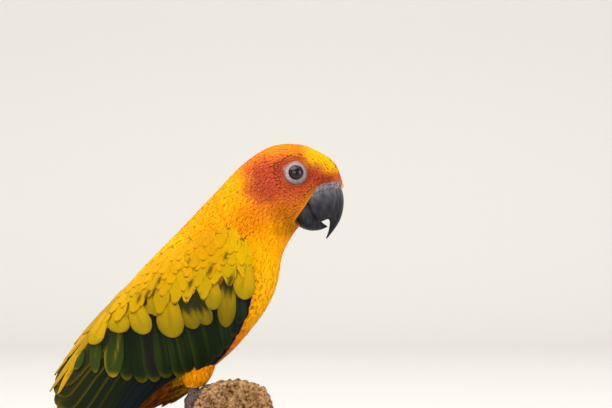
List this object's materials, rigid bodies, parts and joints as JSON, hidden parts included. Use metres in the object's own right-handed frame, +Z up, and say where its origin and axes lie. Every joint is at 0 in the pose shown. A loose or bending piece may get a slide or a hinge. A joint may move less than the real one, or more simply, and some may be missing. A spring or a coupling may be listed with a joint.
{
  "type": "sun conure",
  "caption": "Life-size still model of a perched sun conure, a small orange and yellow parrot with a long tail, on a cut length of branch held by a plain display stand.",
  "frame": {"origin": "middle of the stand base's underside, on the floor", "axes": "+X the way the bird faces, +Y its left, +Z up"},
  "size_m": [0.2065, 0.108, 0.2285],
  "materials": {
    "face_orange": "short feathers, orange-red",
    "plumage_orange": "body feathers, orange-yellow",
    "plumage_yellow": "wing feathers, yellow and green",
    "plumage_green": "tail feathers, dark green",
    "horn_black": "bill horn, charcoal",
    "eye_dark": "wet dark eye",
    "foot_grey": "scaled grey skin",
    "weathered_wood": "rough bark and cut ends",
    "stand_wood": "dark satin wood",
    "stand_steel": "brushed"
  },
  "bodies": {
    "root": {"head": "face_orange", "neck": "plumage_orange", "torso": "plumage_orange", "tail": "plumage_green", "wing_right": "plumage_yellow", "wing_left": "plumage_yellow", "thigh_right": "plumage_orange", "thigh_left": "plumage_orange", "foot_right": "foot_grey", "foot_left": "foot_grey", "bill_upper": "horn_black", "bill_lower": "horn_black", "eye_right": "eye_dark", "eye_left": "eye_dark", "perch": "weathered_wood", "stand_base": "stand_wood", "stand_rod_near": "stand_steel", "stand_rod_far": "stand_steel"}
  },
  "joints": []
}
